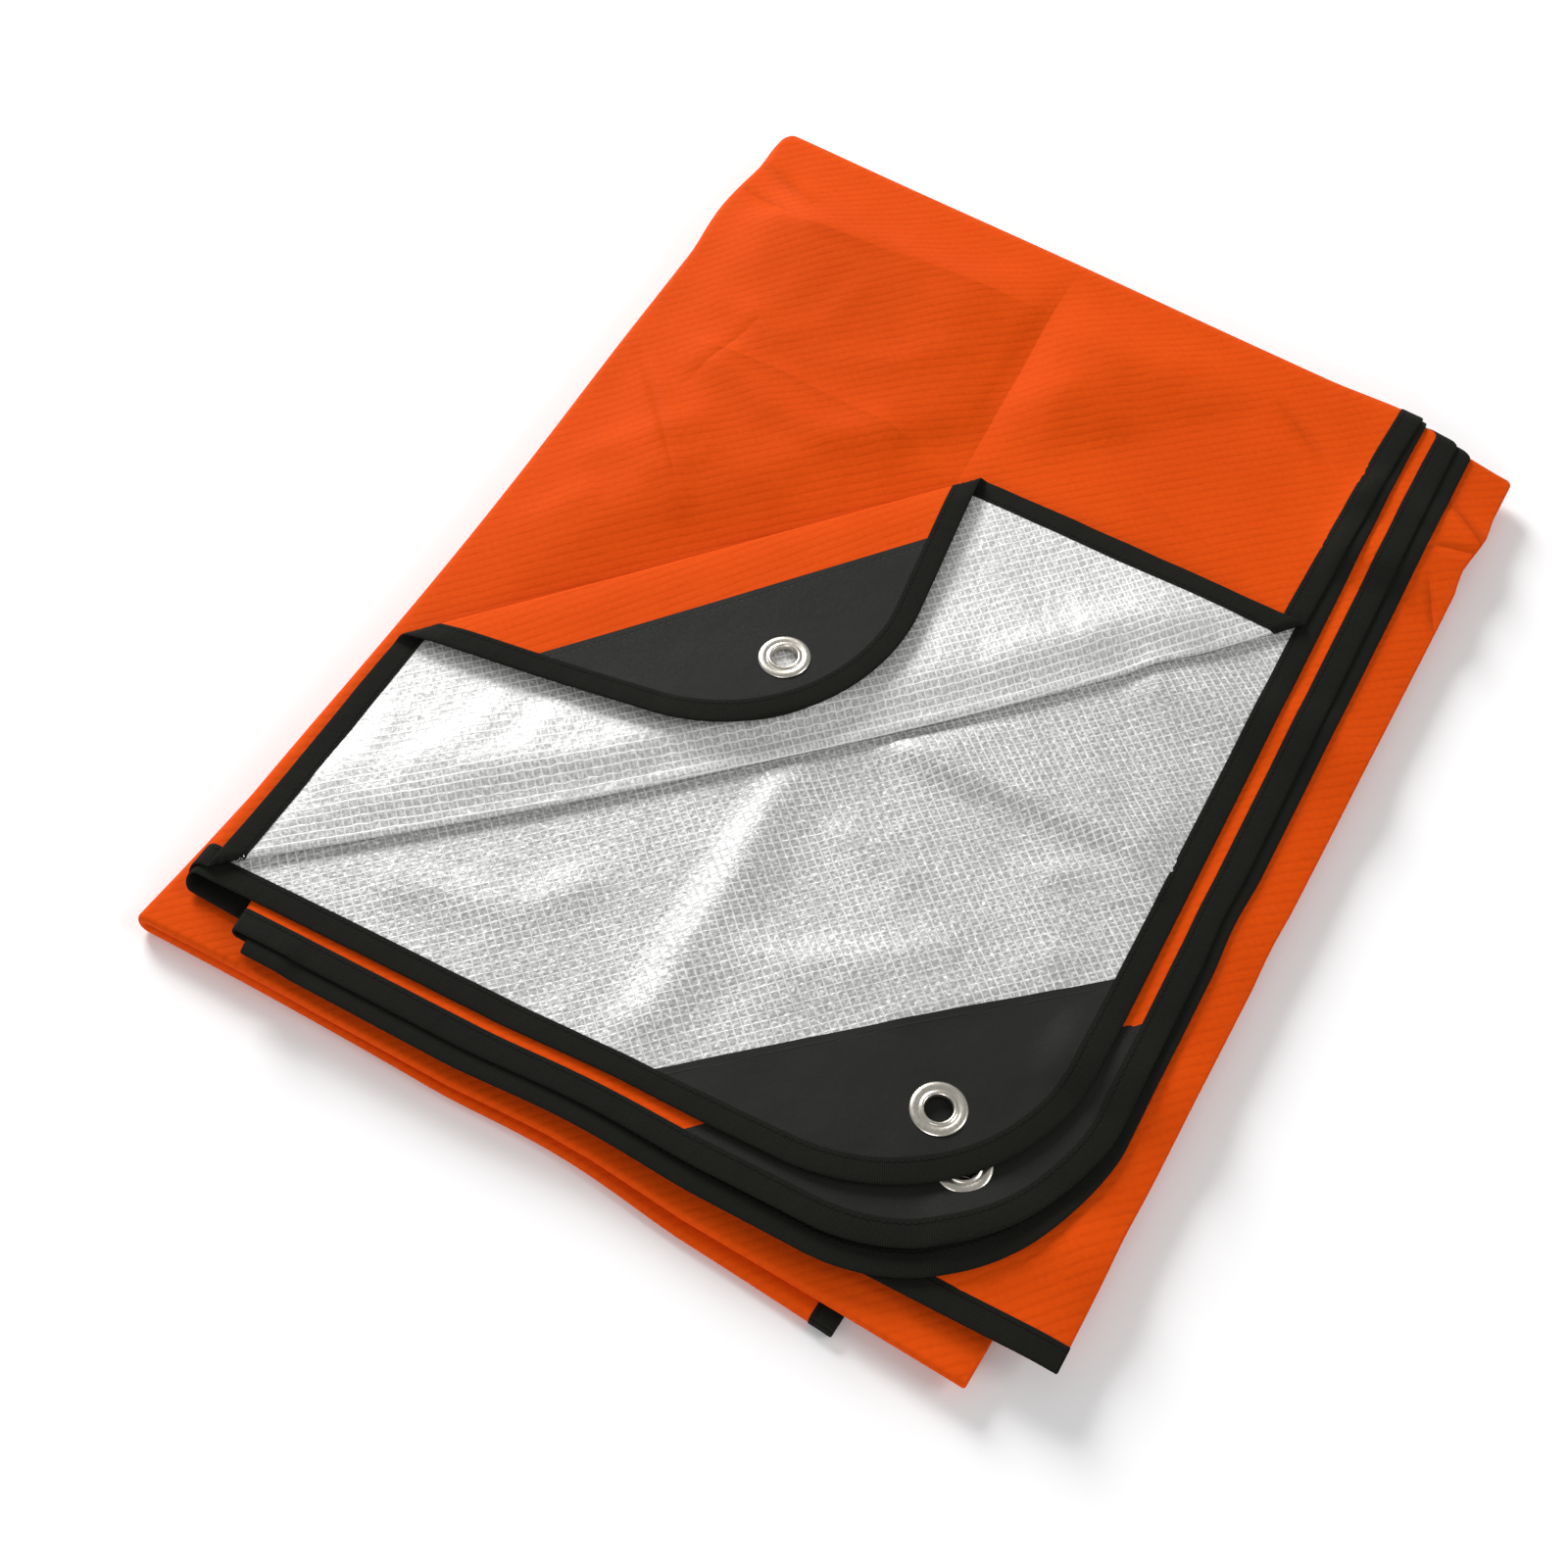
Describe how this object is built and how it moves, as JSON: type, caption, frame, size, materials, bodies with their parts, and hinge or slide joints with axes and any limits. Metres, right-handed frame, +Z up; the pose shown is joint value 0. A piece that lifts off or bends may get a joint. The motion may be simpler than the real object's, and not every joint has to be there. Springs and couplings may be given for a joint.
{
  "type": "folded foil blanket",
  "caption": "Heavy foil survival blanket folded into a flat packet, bound edge, reinforced corners with metal eyelets, one corner turned back",
  "frame": {"origin": "bottom centre of the bounding box, on the ground that the packet lies on", "axes": "+Y runs along the packet's longest side, from its open edges to its thick fold. +Z points up, across its layers. +X runs towards the bound edges of the top layers"},
  "size_m": [0.4244, 0.5526, 0.0296],
  "materials": {
    "orange_foil": "woven orange face over silver scrim foil",
    "binding": "black woven tape",
    "patch": "black woven cloth",
    "eyelet": "bright nickel plated"
  },
  "bodies": {
    "root": {"blanket": "orange_foil", "binding": "binding", "corner_patch_1": "patch", "corner_patch_2": "patch", "corner_patch_3": "patch", "corner_patch_4": "patch", "eyelet_1": "eyelet", "eyelet_2": "eyelet", "eyelet_3": "eyelet", "eyelet_4": "eyelet"}
  },
  "joints": []
}
